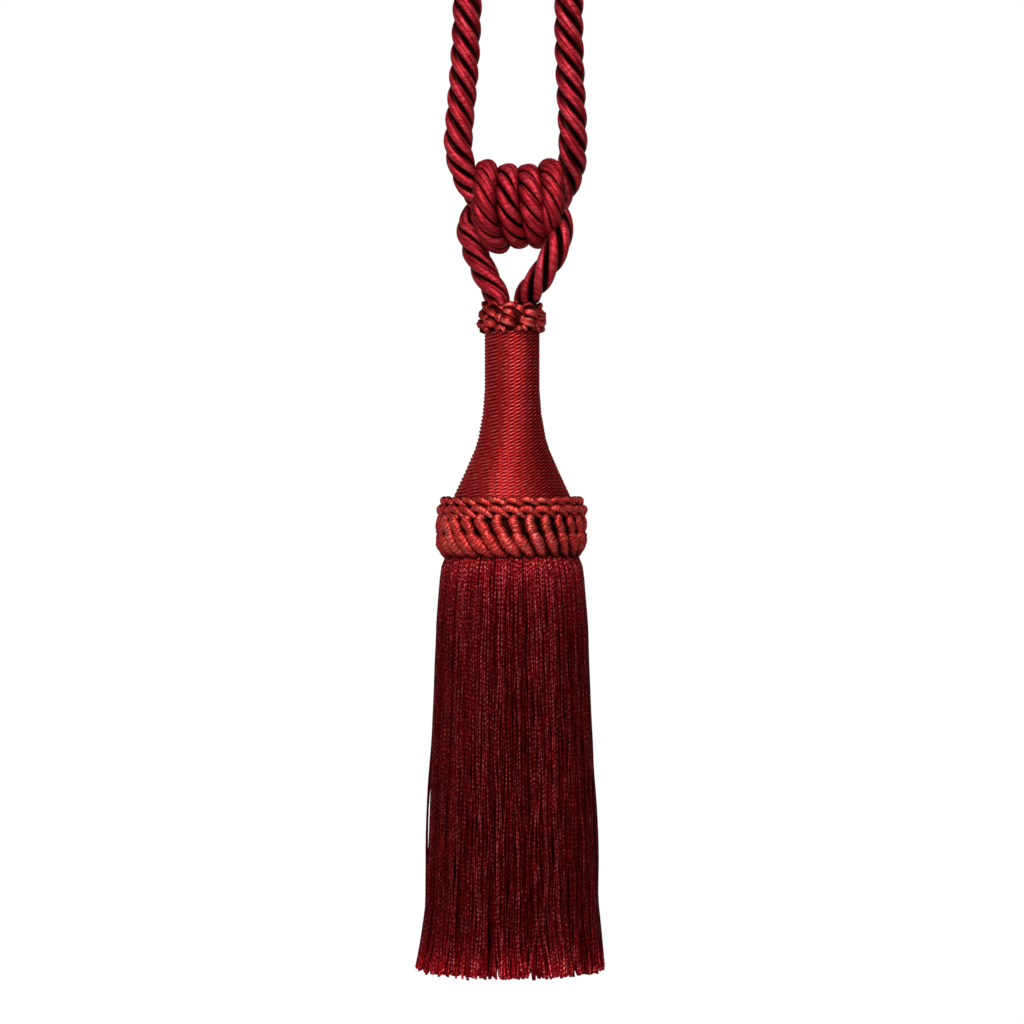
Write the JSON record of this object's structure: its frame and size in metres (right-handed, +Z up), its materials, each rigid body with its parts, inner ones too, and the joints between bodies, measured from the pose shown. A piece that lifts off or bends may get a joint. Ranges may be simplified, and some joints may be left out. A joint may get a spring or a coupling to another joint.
{
  "type": "curtain tieback tassel",
  "caption": "Long tassel on a looped twisted rope with a barrel knot, a cord-wound head, a gimp ruff and a full bullion skirt, to hold back a curtain.",
  "frame": {"origin": "where the inner side of the rope's loop rests on the hook that holds it", "axes": "+Z up, from the fringe to the loop; +X across the loop, to the right as seen from the front; -Y the front"},
  "size_m": [0.069, 0.069, 0.4214],
  "materials": {
    "rope": "lustrous wine red rayon yarn, laid in four strands",
    "collar": "orange-red floss loops",
    "head": "fine two-ply crimson cord, wound closely",
    "ruff": "orange-red wrapped gimp cords",
    "skirt": "dark wine twisted bullion yarn, brighter at its cut ends"
  },
  "bodies": {
    "root": {"rope": "rope", "collar": "collar", "head": "head", "ruff": "ruff", "skirt": "skirt"}
  },
  "joints": []
}
